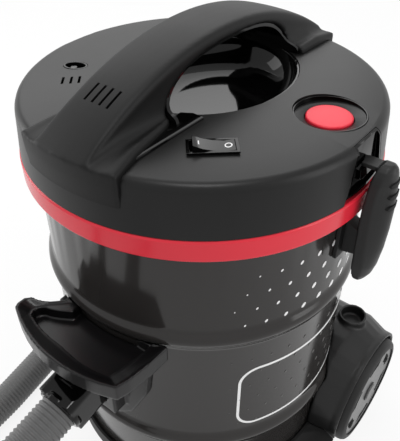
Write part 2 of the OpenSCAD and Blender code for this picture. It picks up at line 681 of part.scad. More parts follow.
module switch_frame() {
  color([0.03, 0.03, 0.03]) at_head() switch_place() difference() {
    union() {
      translate([-20.5, -10.3, 480.5]) cube([41, 20.6, 1.2]);
      translate([-19, -9.3, 462]) cube([38, 18.6, 19]);
    }
    translate([-17.8, -8.1, 464]) cube([35.6, 16.2, 30]);
    rod_y(1.25 + run, -8.8, 8.8, 0, 478);
  }
}
module switch_rocker() {
  color([0.04, 0.04, 0.04]) at_head() switch_place() translate([0, 0, 478]) rotate([0, 8, 0]) union() {
    along_y(-7.8, 7.8) polygon([[-16.6, 6.4], [-9, 4.4], [0, 3.6], [9, 4.4], [16.6, 6.4], [16.6, -1],
      [7, -6], [-7, -6], [-16.6, -1]]);
    rod_y(1.25, -8.7, 8.7, 0, 0);
  }
}
module cord_outlet() {
  color([0.03, 0.03, 0.03]) at_head() translate([-113, -54, 0]) rotate(25.6) union() {
    difference() {
      translate([0, 0, 471]) linear_extrude(9)
        polygon([for (i = [0:23]) [12 * cos(15 * i), 8.5 * sin(15 * i)]]);
      translate([0, 0, 473]) linear_extrude(9)
        polygon([for (i = [0:23]) [10 * cos(15 * i), 6.5 * sin(15 * i)]]);
    }
    translate([-2, 0, 472]) cylinder(r = 3.4, h = 6);
  }
}

// ---------------- inside ----------------
module motor_pot() {
  color([0.08, 0.08, 0.08]) at_head() union() {
    tube(92, 89, 300, 432.2);
    tube(90, 38, 300, 303);
    tube(100, 89, 429.4, 432.2);
  }
}
module motor() {
  color([0.4, 0.4, 0.4]) at_head() difference() {
    union() {
      translate([0, 0, 320]) cylinder(r = 62, h = 78);
      translate([0, 0, 395]) cylinder(r = 88.6, h = 3);
    }
    translate([0, 0, 319]) cylinder(r = 5 + run, h = 24);
  }
}
module fan() {
  color([0.6, 0.6, 0.6]) at_head() union() {
    translate([0, 0, 305]) cylinder(r = 70, h = 2);
    translate([0, 0, 305]) cylinder(r = 12, h = 12);
    translate([0, 0, 305]) cylinder(r = 5, h = 36);
    for (k = [0:7]) rotate(45 * k) translate([10, -1, 306]) cube([58, 2, 10]);
  }
}
module cord_reel() {
  color([0.1, 0.1, 0.1]) at_head() difference() {
    union() {
      for (z = [404, 428]) translate([0, 0, z]) cylinder(r = 75, h = 2);
      translate([0, 0, 404]) cylinder(r = 30, h = 26);
    }
    translate([0, 0, 400]) cylinder(r = 6 + run, h = 40);
  }
}
module filter_cage() {
  color([0.1, 0.1, 0.1]) at_head() difference() {
    union() {
      tube(110, 107, 268, 432.2);
      translate([0, 0, 268]) cylinder(r = 124, h = 3);
      tube(126, 107, 429.4, 432.2);
    }
    for (k = [0:11]) rotate(30 * k) translate([90, -9, 285]) cube([30, 18, 130]);
  }
}
module filter_sleeve() {
  color([0.8, 0.8, 0.78]) at_head() tube(122, 110.3, 271.3, 429.1);
}

drum();
drum_ring();
head_gasket();
base_tray();
fender(false);  // fender_left
fender(true);  // fender_right
axle(false);  // axle_left
axle(true);  // axle_right
wheel(false);  // wheel_left
wheel(true);  // wheel_right
tyre(false);  // tyre_left
tyre(true);  // tyre_right
hubcap(false);  // hubcap_left
hubcap(true);  // hubcap_right
caster_fork(false);  // caster_fork_left
caster_fork(true);  // caster_fork_right
caster_wheel(false);  // caster_wheel_left
caster_wheel(true);  // caster_wheel_right
caster_pin(false);  // caster_pin_left
caster_pin(true);  // caster_pin_right
inlet_housing();
housing_screw();
tool_tray();
hose_connector();
connector_release();
hose();
hose_cuff();
latch_bracket(false);  // latch_bracket_left
latch_bracket(true);  // latch_bracket_right
latch_pin(false);  // latch_pin_left
latch_pin(true);  // latch_pin_right
latch_lever(false);  // latch_lever_left
latch_lever(true);  // latch_lever_right
latch_keeper(false);  // latch_keeper_left
latch_keeper(true);  // latch_keeper_right
head_shell();
head_pan();
handle_cover();
handle_liner();
hand_well();
button_well();
rewind_button();
button_spring();
switch_frame();
switch_rocker();
cord_outlet();
motor_pot();
motor();
fan();
cord_reel();
filter_cage();
filter_sleeve();
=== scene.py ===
"""Looks of a drum vacuum cleaner on wheels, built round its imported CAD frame.

Everything is in metres in the frame's own axes: the floor at z = 0, the hose
inlet towards -Y. Each sub-assembly is a class with its sizes as fields.
"""

from __future__ import annotations

import json
import logging
import math
from dataclasses import dataclass
from enum import Enum

import bmesh
import bpy
from bpy.types import ID, Material, Mesh, Node, NodeSocket, NodeTree, Object
from mathutils import Matrix, Vector

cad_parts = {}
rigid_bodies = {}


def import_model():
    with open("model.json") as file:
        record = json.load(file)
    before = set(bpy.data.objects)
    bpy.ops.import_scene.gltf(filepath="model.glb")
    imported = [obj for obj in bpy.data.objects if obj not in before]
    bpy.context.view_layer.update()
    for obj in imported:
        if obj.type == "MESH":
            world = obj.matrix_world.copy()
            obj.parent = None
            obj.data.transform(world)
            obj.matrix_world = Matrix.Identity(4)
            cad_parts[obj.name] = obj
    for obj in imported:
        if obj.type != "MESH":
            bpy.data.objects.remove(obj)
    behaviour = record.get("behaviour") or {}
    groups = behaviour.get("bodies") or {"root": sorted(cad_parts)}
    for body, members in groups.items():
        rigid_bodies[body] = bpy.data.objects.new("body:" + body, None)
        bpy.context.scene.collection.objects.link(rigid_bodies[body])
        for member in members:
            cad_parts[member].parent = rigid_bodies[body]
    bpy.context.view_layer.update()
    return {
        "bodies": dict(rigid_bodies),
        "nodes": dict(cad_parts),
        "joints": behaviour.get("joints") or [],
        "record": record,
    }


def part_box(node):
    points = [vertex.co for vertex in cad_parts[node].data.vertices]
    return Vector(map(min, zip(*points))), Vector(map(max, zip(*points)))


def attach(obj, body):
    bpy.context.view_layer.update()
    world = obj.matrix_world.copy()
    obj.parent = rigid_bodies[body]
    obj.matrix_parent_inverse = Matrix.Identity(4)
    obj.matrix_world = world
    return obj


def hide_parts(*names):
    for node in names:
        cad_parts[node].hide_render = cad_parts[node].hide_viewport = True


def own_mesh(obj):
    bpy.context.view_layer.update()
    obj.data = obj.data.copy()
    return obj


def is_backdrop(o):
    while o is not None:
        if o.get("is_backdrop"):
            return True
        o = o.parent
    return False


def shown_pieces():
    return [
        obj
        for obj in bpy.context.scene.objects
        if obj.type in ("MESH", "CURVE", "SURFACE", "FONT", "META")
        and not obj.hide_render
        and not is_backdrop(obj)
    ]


LOG = logging.getLogger("vacuum")
MM = 0.001
FIXED = "chassis"
# corners closer than this are one corner of the CAD mesh
WELD_MM = 0.004
# faces of a CAD mesh that meet at less than this are one flat face
FLAT_DEG = 0.4
# size of the cloudy handling marks, and how far they move the roughness
CLOUD_MM = 45.0
ROUGH_BAND = (0.92, 1.08)
# depth of a finish's full relief
RELIEF_MM = 0.2


def srgb(hex_code: str) -> tuple[float, float, float, float]:
    """Turn an sRGB hex colour into the linear colour that a shader takes.

    Args:
        hex_code: six hex digits, with or without a leading mark.

    Returns:
        Linear red, green, blue and an alpha of one.
    """
    digits = hex_code.lstrip("#")
    values = [int(digits[i:i + 2], 16) / 255 for i in (0, 2, 4)]
    linear = [v / 12.92 if v <= 0.04045 else ((v + 0.055) / 1.055) ** 2.4 for v in values]
    return linear[0], linear[1], linear[2], 1.0


def add_node(tree: NodeTree, kind: str, settings: dict | None = None, **sockets: object) -> Node:
    """Add one node with its settings, and set or link its inputs by name.

    Args:
        tree: the node tree that takes the node.
        kind: the node's Blender type.
        settings: attributes set on the node.
        **sockets: input name (spaces as underscores) to a value or an output socket.

    Returns:
        The new node.
    """
    made = tree.nodes.new(kind)
    for name, value in (settings or {}).items():
        setattr(made, name, value)
    for name, value in sockets.items():
        wanted = name.replace("_", " ")
        index = 0
        if wanted[-2:-1] == " " and wanted[-1].isdigit():
            wanted, index = wanted[:-2], int(wanted[-1])
        socket = [s for s in made.inputs if s.name == wanted and s.enabled][index]
        if isinstance(value, NodeSocket):
            tree.links.new(value, socket)
        else:
            socket.default_value = value
    return made


def worked_out(tree: NodeTree, operation: str, *values: object) -> NodeSocket:
    """Return the result of one math node.

    Args:
        tree: the node tree that takes the node.
        operation: the node's operation.
        *values: numbers or output sockets, in the order of its inputs.

    Returns:
        The output that holds the result.
    """
    sockets = {f"Value_{index}": value for index, value in enumerate(values)}
    return add_node(tree, "ShaderNodeMath", {"operation": operation}, **sockets).outputs["Value"]


def sized_tree(name: str, sizes: dict[str, float]) -> tuple[NodeTree, Node]:
    """Start a geometry tree that offers its sizes as named inputs.

    Args:
        name: the tree's name.
        sizes: each input's name and value.

    Returns:
        The tree and its input node.
    """
    tree = bpy.data.node_groups.new(name, "GeometryNodeTree")
    for way in ("INPUT", "OUTPUT"):
        tree.interface.new_socket("Geometry", in_out=way, socket_type="NodeSocketGeometry")
    for label, value in sizes.items():
        socket = tree.interface.new_socket(label, in_out="INPUT", socket_type="NodeSocketFloat")
        socket.default_value = value
    return tree, add_node(tree, "NodeGroupInput")


def close_tree(tree: NodeTree, shape: NodeSocket, finish: Finish) -> None:
    """End a geometry tree: its copies made real, in one finish.

    Args:
        tree: the tree.
        shape: the output that holds the geometry.
        finish: what it is made of.
    """
    whole = add_node(tree, "GeometryNodeRealizeInstances", Geometry=shape)
    skin = add_node(tree, "GeometryNodeSetMaterial", Geometry=whole.outputs["Geometry"],
                    Material=finish.build())
    add_node(tree, "NodeGroupOutput", Geometry=skin.outputs["Geometry"])


# ---------------------------------------------------------------- finishes


class Relief(Enum):
    """What stands out of a surface, from its making."""

    NONE = "none"
    SPARK = "spark-eroded mould grain"
    PAINT = "orange peel of a sprayed coat"
    BRUSHED = "brushed lines"
    WOVEN = "woven threads"


@dataclass(frozen=True)
class Finish:
    """One real material and how its surface was made."""

    name: str
    colour: str
    roughness: float
    relief: Relief = Relief.SPARK
    grain_mm: float = 1.2
    depth: float = 0.05
    coat: float = 0.0
    metallic: float = 0.0
    ior: float = 1.5
    mottle: float = 0.06

    def build(self) -> Material:
        """Build the shader, once per finish.

        Returns:
            The material.
        """
        if self.name in bpy.data.materials:
            return bpy.data.materials[self.name]
        material = bpy.data.materials.new(self.name)
        material.use_nodes = True
        tree = material.node_tree
        shader = next(n for n in tree.nodes if n.type == "BSDF_PRINCIPLED")
        base = srgb(self.colour)
        shader.inputs["Metallic"].default_value = self.metallic
        if self.metallic < 0.5:
            shader.inputs["IOR"].default_value = self.ior
        shader.inputs["Coat Weight"].default_value = self.coat
        shader.inputs["Coat Roughness"].default_value = 0.04
        place = add_node(tree, "ShaderNodeTexCoord")
        cloud = add_node(tree, "ShaderNodeTexNoise", Vector=place.outputs["Object"],
                         Scale=1 / (CLOUD_MM * MM), Detail=3.0)
        low = tuple(c * (1 - self.mottle) for c in base[:3]) + (1.0,)
        high = tuple(min(1.0, c * (1 + self.mottle)) for c in base[:3]) + (1.0,)
        tint = add_node(tree, "ShaderNodeMix", {"data_type": "RGBA"},
                        Factor=cloud.outputs["Fac"])
        colour_inputs = [s for s in tint.inputs if s.type == "RGBA"]
        colour_inputs[0].default_value = low
        colour_inputs[1].default_value = high
        mixed = next(s for s in tint.outputs if s.type == "RGBA")
        tree.links.new(mixed, shader.inputs["Base Color"])
        rough = add_node(tree, "ShaderNodeMapRange", Value=cloud.outputs["Fac"])
        rough.inputs["To Min"].default_value = max(0.02, self.roughness * ROUGH_BAND[0])
        rough.inputs["To Max"].default_value = min(1.0, self.roughness * ROUGH_BAND[1])
        tree.links.new(rough.outputs["Result"], shader.inputs["Roughness"])
        height = self._relief(tree, place)
        if height is not None:
            bump = add_node(tree, "ShaderNodeBump", Strength=self.depth, Height=height)
            bump.inputs["Distance"].default_value = RELIEF_MM * MM
            tree.links.new(bump.outputs["Normal"], shader.inputs["Normal"])
        return material

    def _relief(self, tree: NodeTree, place: Node) -> NodeSocket | None:
        """Return the height that the surface's making leaves, or None."""
        where = place.outputs["Object"]
        scale = 1 / (self.grain_mm * MM)
        if self.relief is Relief.NONE:
            return None
        if self.relief is Relief.WOVEN:
            return add_node(tree, "ShaderNodeTexVoronoi", Vector=where, Scale=scale).outputs["Distance"]
        if self.relief is Relief.BRUSHED:
            where = add_node(tree, "ShaderNodeMapping", Vector=where,
                             Scale=(0.02, 1.0, 1.0)).outputs["Vector"]
        detail = {Relief.SPARK: 4.0, Relief.PAINT: 0.0, Relief.BRUSHED: 2.0}[self.relief]
        return add_node(tree, "ShaderNodeTexNoise", Vector=where, Scale=scale,
                        Detail=detail).outputs["Fac"]


# sprayed and baked enamel on sheet steel: a deep gloss with a faint orange peel
ENAMEL = Finish("steel_enamel_charcoal", "#2c2a29", 0.13, Relief.PAINT, 6.0, 0.03, ior=1.36, mottle=0.03)
# moulded ABS with a satin sheen: the head's cover
HEAD_ABS = Finish("abs_satin_head", "#101010", 0.36, Relief.SPARK, 0.9, 0.06, ior=1.33)
# moulded ABS with a spark-eroded matt grain: the handle
HANDLE_ABS = Finish("abs_matt_handle", "#0c0c0c", 0.5, Relief.SPARK, 0.8, 0.1, ior=1.3)
# moulded polypropylene, satin: levers and pods
SATIN_PP = Finish("polypropylene_satin", "#1c1c1c", 0.42, Relief.SPARK, 1.0, 0.08, ior=1.35)
# high gloss ABS from a polished mould: hand well, connector, switch
GLOSS_ABS = Finish("abs_high_gloss", "#050505", 0.06, Relief.PAINT, 12.0, 0.01, ior=1.3)
# tray and inlet housing: black ABS with a soft sheen
TRAY_ABS = Finish("abs_soft_sheen_tray", "#0d0c0d", 0.26, Relief.SPARK, 1.2, 0.04, ior=1.33)
# ring: through-coloured red ABS, polished
RED_ABS = Finish("abs_red_ring", "#e02b3c", 0.2, Relief.PAINT, 8.0, 0.02, ior=1.38, mottle=0.03)
# button: through-coloured bright red ABS
BUTTON_ABS = Finish("abs_red_button", "#ec2f42", 0.34, Relief.PAINT, 6.0, 0.02, ior=1.34, mottle=0.02)
# tyre and casters: cured rubber
RUBBER = Finish("rubber_moulded", "#141414", 0.6, Relief.SPARK, 0.6, 0.12, ior=1.4)
# wheels: nylon, mid grey
NYLON = Finish("nylon_wheel", "#565656", 0.36, Relief.SPARK, 0.9, 0.07, ior=1.4)
# hose: soft EVA, a waxy grey
EVA_HOSE = Finish("eva_hose_grey", "#5f5f5f", 0.38, Relief.SPARK, 1.5, 0.03, ior=1.4, mottle=0.04)
# grip grooves: the lever's own polypropylene, coarse, with painted shade: coloured darker for the shade
# inside the grooves
GROOVE_SHADE_PP = Finish("polypropylene_painted_groove_shade", "#060606", 0.6, Relief.SPARK, 0.8, 0.1, ior=1.3)
# chassis and inner parts: plain matt polypropylene
MATT_PP = Finish("polypropylene_matt", "#141414", 0.55, Relief.SPARK, 1.0, 0.1, ior=1.36)
# pins, axles, screws and spring: turned steel
STEEL = Finish("steel_turned", "#b8b8ba", 0.3, Relief.BRUSHED, 0.5, 0.1, metallic=1.0, mottle=0.04)
# fan and motor housing: cast aluminium
ALUMINIUM = Finish("aluminium_cast", "#a9aaac", 0.42, Relief.SPARK, 0.8, 0.1, metallic=1.0)
# filter sleeve: needled polyester cloth
FILTER_CLOTH = Finish("polyester_filter_cloth", "#d8d6cf", 0.9, Relief.WOVEN, 1.2, 0.3)
# printed marks: matt white pad-print ink
WHITE_INK = Finish("pad_print_white", "#f4f4f4", 0.45, Relief.NONE, mottle=0.02)
# the fainter dots: grey ink, a shade above the enamel
GREY_INK = Finish("pad_print_grey", "#565554", 0.4, Relief.NONE, mottle=0.02)

# width in millimetres of the rolled edge on each node that keeps its CAD shape
SOFT_MM: dict[str, float] = {
    "drum": 0.5, "drum_ring": 0.9, "base_tray": 0.8, "wheel": 0.8, "tyre": 0.6, "hubcap": 0.6,
    "caster_fork": 0.6, "caster_wheel": 0.8, "connector_release": 0.6, "hose_cuff": 1.0,
    "head_shell": 0.5, "handle_liner": 0.4, "hand_well": 0.5, "button_well": 0.4,
    "switch_frame": 0.5, "switch_rocker": 0.5, "cord_outlet": 0.5,
    "latch_bracket": 0.8, "latch_keeper": 0.4,
}

# cell size in millimetres and relaxing passes of the nodes that a mould rounds all over
MOULD_MM: dict[str, tuple[float, int]] = {
    "fender": (1.6, 5), "tool_tray": (1.0, 5), "hose_connector": (0.9, 4), "latch_lever": (0.9, 3),
    "inlet_housing": (1.2, 5),
}

# what each node is made of, by its name or, for a pair, by its name without the side
NODE_FINISH: dict[str, Finish] = {node: finish for finish, nodes in (
    (ENAMEL, ("drum",)),
    (RED_ABS, ("drum_ring",)),
    (RUBBER, ("head_gasket", "tyre", "caster_wheel")),
    (TRAY_ABS, ("inlet_housing", "tool_tray")),
    (STEEL, ("housing_screw", "button_spring", "axle", "caster_pin", "latch_pin")),
    (EVA_HOSE, ("hose",)),
    (SATIN_PP, ("hose_cuff", "fender", "latch_lever")),
    (HEAD_ABS, ("head_shell",)),
    (HANDLE_ABS, ("handle_cover",)),
    (BUTTON_ABS, ("rewind_button",)),
    (NYLON, ("wheel", "hubcap")),
    (ALUMINIUM, ("motor", "fan")),
    (FILTER_CLOTH, ("filter_sleeve",)),
    (MATT_PP, ("base_tray", "head_pan", "motor_pot", "cord_reel", "filter_cage", "caster_fork",
               "latch_bracket")),
    (GLOSS_ABS, ("hose_connector", "connector_release", "handle_liner", "hand_well", "button_well",
                 "switch_frame", "switch_rocker", "cord_outlet", "latch_keeper")),
) for node in nodes}


def of_node(table: dict, node: str) -> object:
    """Return a node's entry, by its name or by its name without the side, or None."""
    return table.get(node) or table.get(node.rsplit("_", 1)[0])


def link(thing: Object) -> Object:
    """Put an object in the scene and return it."""
    bpy.context.scene.collection.objects.link(thing)
    return thing


def dress(piece: Object, finish: Finish) -> None:
    """Give a piece one finish in every material slot."""
    material = finish.build()
    if not piece.data.materials:
        piece.data.materials.append(material)
    for index in range(len(piece.data.materials)):
        piece.data.materials[index] = material


def new_piece(name: str, mesh: Mesh, finish: Finish) -> Object:
    """Put a mesh in the scene as a piece with one finish.

    Args:
        name: the piece's name.
        mesh: its mesh, already in place.
        finish: what it is made of.

    Returns:
        The new object.
    """
    piece = link(bpy.data.objects.new(name, mesh))
    mesh.materials.clear()
    mesh.materials.append(finish.build())
    return piece


def own_piece(name: str, mesh: Mesh, finish: Finish, body: str = FIXED,
              degrees: float | None = None) -> Object:
    """Put a mesh in the scene as a piece that rides on a body in a material slot.

    Args:
        name: the piece's name.
        mesh: its mesh, already in place.
        finish: what it is made of.
        body: the CAD body that it rides on.
        degrees: edges sharper than this stay crisp and the rest is shaded smooth.

    Returns:
        The new piece.
    """
    piece = new_piece(name, mesh, finish)
    if degrees is not None:
        smooth_by_angle(mesh, degrees)
    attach(piece, body)
    return piece


def baked(piece: Object) -> Mesh:
    """Return a piece's mesh with its modifiers applied, and clear them."""
    bpy.context.view_layer.update()
    graph = bpy.context.evaluated_depsgraph_get()
    mesh = bpy.data.meshes.new_from_object(piece.evaluated_get(graph))
    piece.modifiers.clear()
    return mesh


def grown(name: str, seed: ID, tree: NodeTree) -> Mesh:
    """Return the plain mesh that a geometry tree makes of a mesh or curve.

    Args:
        name: the name of the object that carries the tree for the moment.
        seed: the mesh or curve that goes in.
        tree: the tree.

    Returns:
        The mesh, with the object gone.
    """
    carrier = link(bpy.data.objects.new(name, seed))
    carrier.modifiers.new(name, "NODES").node_group = tree
    mesh = baked(carrier)
    bpy.data.objects.remove(carrier)
    return mesh


def smooth_by_angle(mesh: Mesh, degrees: float = 30.0) -> None:
    """Shade a mesh smooth, with edges sharper than an angle left crisp."""
    mesh.shade_smooth()
    mesh.set_sharp_from_angle(angle=math.radians(degrees))


def weld(mesh: Mesh, flat_deg: float = 0.0) -> None:
    """Merge the doubled corners of a mesh of loose triangles.

    Args:
        mesh: the mesh.
        flat_deg: faces that meet at less than this become one, where it is not nought.
    """
    work = bmesh.new()
    work.from_mesh(mesh)
    bmesh.ops.remove_doubles(work, verts=work.verts, dist=WELD_MM * MM)
    if flat_deg:
        bmesh.ops.dissolve_limit(work, angle_limit=math.radians(flat_deg), verts=work.verts,
                                 edges=work.edges, delimit={"NORMAL"})
    work.to_mesh(mesh)
    work.free()


def soften(piece: Object, width_mm: float, degrees: float = 30.0) -> None:
    """Roll a piece's edges.

    Args:
        piece: the piece.
        width_mm: the width of the rolled edge.
        degrees: edges sharper than this are rolled.
    """
    bevel = piece.modifiers.new("rolled_edge", "BEVEL")
    bevel.width = width_mm * MM
    bevel.segments = 3
    bevel.limit_method = "ANGLE"
    bevel.angle_limit = math.radians(degrees)
    bevel.use_clamp_overlap = True
    bevel.harden_normals = True
    smooth_by_angle(piece.data, degrees)
    piece.data = baked(piece)


def stand_in(node: str, nodes: dict[str, Object], body: str = FIXED) -> Object | None:
    """Stand a copy of a CAD node in the node's place, eased all over or with rolled edges.

    Args:
        node: the CAD node.
        nodes: the frame's nodes by name.
        body: the CAD body that it rides on.

    Returns:
        The new piece, or None for a node that keeps its plain CAD mesh.
    """
    skin, width = of_node(MOULD_MM, node), of_node(SOFT_MM, node)
    if not skin and not width:
        return None
    mesh = nodes[node].data.copy()
    weld(mesh, 0.0 if skin else FLAT_DEG)
    piece = new_piece(f"{node}_moulded", mesh, of_node(NODE_FINISH, node))
    if skin:
        ease(piece, *skin)
    else:
        soften(piece, width)
    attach(piece, body)
    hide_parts(node)
    return piece


def ease(piece: Object, voxel_mm: float, passes: int) -> None:
    """Give a closed piece an even skin and relax it, which rounds its edges."""
    skin = piece.modifiers.new("skin", "REMESH")
    skin.mode = "VOXEL"
    skin.voxel_size = voxel_mm * MM
    relax = piece.modifiers.new("relax", "SMOOTH")
    relax.factor = 0.5
    relax.iterations = passes
    finish = piece.data.materials[0]
    piece.data = baked(piece)
    piece.data.materials.clear()
    piece.data.materials.append(finish)
    piece.data.shade_smooth()


def cut(piece: Object, tool: Mesh, how: str = "DIFFERENCE") -> None:
    """Cut a piece by a closed mesh, or keep what the two share.

    Args:
        piece: the piece.
        tool: the closed mesh.
        how: the kind of Boolean.
    """
    knife = link(bpy.data.objects.new("knife", tool))
    step = piece.modifiers.new("cut", "BOOLEAN")
    step.operation = how
    step.solver = "EXACT"
    step.object = knife
    piece.data = baked(piece)
    bpy.data.objects.remove(knife)


def polar(radius: float, turn: float, z: float) -> Vector:
    """Return a point about an upright axis, in metres, from millimetres and radians."""
    return Vector((radius * math.cos(turn), radius * math.sin(turn), z)) * MM


def ring_mesh(name: str, rings: list[list[Vector]], wrap: bool = False) -> Mesh:
    """Skin rings of points into a closed mesh.

    Args:
        name: the mesh's name.
        rings: the rings, each with as many points.
        wrap: whether the last ring joins the first, so that no caps are needed.

    Returns:
        The mesh, with its faces outwards.
    """
    work = bmesh.new()
    made = [[work.verts.new(p) for p in ring] for ring in rings]
    count = len(rings[0])
    pairs = list(zip(made, made[1:])) + ([(made[-1], made[0])] if wrap else [])
    for here, there in pairs:
        for i in range(count):
            j = (i + 1) % count
            work.faces.new((here[i], here[j], there[j], there[i]))
    if not wrap:
        work.faces.new(made[0])
        work.faces.new(list(reversed(made[-1])))
    bmesh.ops.recalc_face_normals(work, faces=work.faces)
    mesh = bpy.data.meshes.new(name)
    work.to_mesh(mesh)
    work.free()
    return mesh


def turned(name: str, axis: Vector, section_mm: list[tuple[float, float]], steps: int = 160) -> Mesh:
    """Turn a closed section about an upright axis.

    Args:
        name: the mesh's name.
        axis: a point on the axis.
        section_mm: radius and height of each corner; a radius of nought is kept a hair off.
        steps: how many places round.

    Returns:
        The closed mesh.
    """
    rings = []
    for step in range(steps):
        turn = math.tau * step / steps
        rings.append([axis + polar(max(r, 0.01), turn, z) for r, z in section_mm])
    return ring_mesh(name, rings, wrap=True)


# one flank of the handle's section above its hem, from the foot inwards: shares of the
# flare sideways, of the rolled skirt's height and of the free height above the skirt
FLANK = ((0.978, 0.45, 0.0), (0.889, 0.85, 0.0), (0.744, 1.0, 0.0), (0.578, 0.93, 0.0),
         (0.467, 0.85, 0.01), (0.311, 0.85, 0.05), (0.178, 0.85, 0.13), (0.078, 0.85, 0.26),
         (0.017, 1.0, 0.42), (0.0, 1.0, 0.6))
# its shoulder: millimetres out from the grip's half width, and below the top
SHOULDER = ((0.2, 7.5), (0.3, 5.0), (-0.6, 2.8), (-2.4, 1.2), (-5.2, 0.2))
# its crown: millimetres from the middle, and above the top
CROWN = ((15.0, 0.5), (5.0, 0.9))


@dataclass
class CarryHandle:
    """The bridge over the hand well: a bell-shaped section on a long arc."""

    axis: Vector
    top_mm: float = 536.0
    arc_mm: float = 313.0
    half_mm: float = 28.0
    skirt_mm: float = 46.0
    # half width of the front foot at its tip and where it leaves the arch
    foot_spread_mm: tuple[float, float] = (53.0, 31.0)
    roll_mm: float = 7.0
    roll_share: float = 0.3
    least_rise_mm: float = 0.8
    crown_mm: float = 20.0
    base_mm: float = 480.6
    head_mm: float = 174.0
    front_mm: float = -179.0
    rear_mm: float = 170.0
    arch_y_mm: float = 8.0
    arch_half_mm: float = 96.0
    arch_rise_mm: float = 54.0
    arch_foot_mm: float = 470.0
    arch_power: float = 0.77
    below_mm: float = 440.0
    hem_mm: float = 452.0
    skin_mm: float = 1.5
    skin_passes: int = 9
    slots_mm: tuple[float, ...] = (-12.0, -4.0, 4.0, 12.0)
    slot_front_mm: float = -132.0
    slot_long_mm: float = 17.0
    slot_half_mm: float = 1.2
    skirt_front_mm: float = -168.0
    # where the glossy panels start and end, and their outer edge at both
    panel_mm: tuple[float, float] = (-62.0, -140.0)
    panel_out_mm: tuple[float, float] = (50.2, 47.6)
    panel_top_mm: float = 482.9
    # middle, half width and half length of the oval hand well
    well_mm: tuple[float, float, float] = (18.0, 76.6, 92.6)

    def skirt(self, y: float) -> float:
        """Return the half width of the foot at a distance behind the drum's axis."""
        if y > 0:
            return self.skirt_mm
        share = min(1.0, max(0.0, (y - self.skirt_front_mm) / (self.panel_mm[0] - self.skirt_front_mm)))
        tip, waist = self.foot_spread_mm
        return tip + (waist - tip) * share

    def section(self, y: float) -> list[Vector]:
        """Return the ring of the section at a distance behind the drum's axis."""
        top = self.top_mm - self.arc_mm + math.sqrt(self.arc_mm ** 2 - y * y)
        base = self.base_mm
        rise = max(top - base, self.least_rise_mm)
        top = base + rise
        roll = min(self.roll_mm, self.roll_share * rise)
        free = rise - roll
        crown = min(1.0, free / self.crown_mm)
        half, flare = self.half_mm, self.skirt(y) - self.half_mm
        right = [(half + flare, self.below_mm), (half + flare, base - 0.6)]
        right += [(half + flare * out, base + low * roll + high * free) for out, low, high in FLANK]
        right += [(half + out, top - down * crown) for out, down in SHOULDER]
        right += [(out, top + up) for out, up in CROWN]
        left = [(-x, z) for x, z in reversed(right)]
        return [self.axis + Vector((x, y, z)) * MM for x, z in right + left]

    def arch(self) -> Mesh:
        """Return the closed prism of the hand's opening."""
        outline = []
        for angle in range(0, 181, 3):
            turn = math.radians(angle)
            across = math.copysign(abs(math.cos(turn)) ** self.arch_power, math.cos(turn))
            rise = math.sin(turn) ** self.arch_power if 0 < angle < 180 else 0.0
            outline.append((self.arch_y_mm + self.arch_half_mm * across,
                            self.arch_foot_mm + self.arch_rise_mm * rise))
        outline += [(self.arch_y_mm + side * self.arch_half_mm, self.below_mm - 10.0)
                    for side in (-1, 1)]
        return self.prism("handle_arch", [[(x, y, z) for y, z in outline] for x in (-90.0, 90.0)])

    def prism(self, name: str, rings_mm: list[list[tuple[float, float, float]]]) -> Mesh:
        """Skin rings given in millimetres from the drum's axis."""
        return ring_mesh(name, [[self.axis + Vector(p) * MM for p in ring] for ring in rings_mm])

    def build(self) -> Object:
        """Make the cover: arc, wrapped ends, opening, eased edges, head's seat, slots.

        Returns:
            The cover.
        """
        long = self.rear_mm - self.front_mm
        rings = [self.section(self.front_mm + long * i / 90) for i in range(91)]
        cover = new_piece("carry_handle", ring_mesh("carry_handle", rings), HANDLE_ABS)
        cut(cover, self.ends(), "INTERSECT")
        cut(cover, self.arch())
        ease(cover, self.skin_mm, self.skin_passes)
        plan = ((-60, -200), (60, -200), (60, 200), (-60, 200))
        cut(cover, self.prism("handle_hem", [[(x, y, z) for x, y in plan]
                                             for z in (self.hem_mm - 40.0, self.hem_mm)]))
        cut(cover, self.head_seat())
        for x in self.slots_mm:
            near, far = self.slot_front_mm, self.slot_front_mm + self.slot_long_mm
            left, right = x - self.slot_half_mm, x + self.slot_half_mm
            plan = ((left, near), (right, near), (right, far), (left, far))
            cut(cover, self.prism("handle_slot", [[(a, b, z) for a, b in plan]
                                                  for z in (497.0, 545.0)]))
        smooth_by_angle(cover.data, 40.0)
        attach(cover, FIXED)
        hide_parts("handle_cover")
        for side in (-1, 1):
            self.panel(side)
        return cover

    def ends(self) -> Mesh:
        """Return the round body that trims both feet where they wrap over the head's rim."""
        foot = self.head_mm + 1.8
        return turned("handle_ends", self.axis, [
            (0.0, 440.0), (foot - 2.0, 440.0), (foot - 1.6, 455.0), (foot - 0.4, 470.0),
            (foot, 482.0), (foot, 560.0), (0.0, 560.0)])

    def head_seat(self) -> Mesh:
        """Return the head's own outline, which hollows the feet that stand on it."""
        head = self.head_mm
        rim, roll = head - 11, 8.3
        seat = [(0.0, 420.0), (head + 0.2, 420.0), (head + 0.2, 430.4), (head - 0.4, 440.0),
                (head - 2.7, 470.3)]
        seat += [(rim + roll * math.cos(math.radians(a)), 470 + roll * math.sin(math.radians(a)))
                 for a in range(15, 91, 15)]
        seat += [(r, 478.3 + 4 * (1 - (r / rim) ** 2)) for r in (140, 115, 90, 60, 30, 0)]
        return turned("head_seat", self.axis, seat)

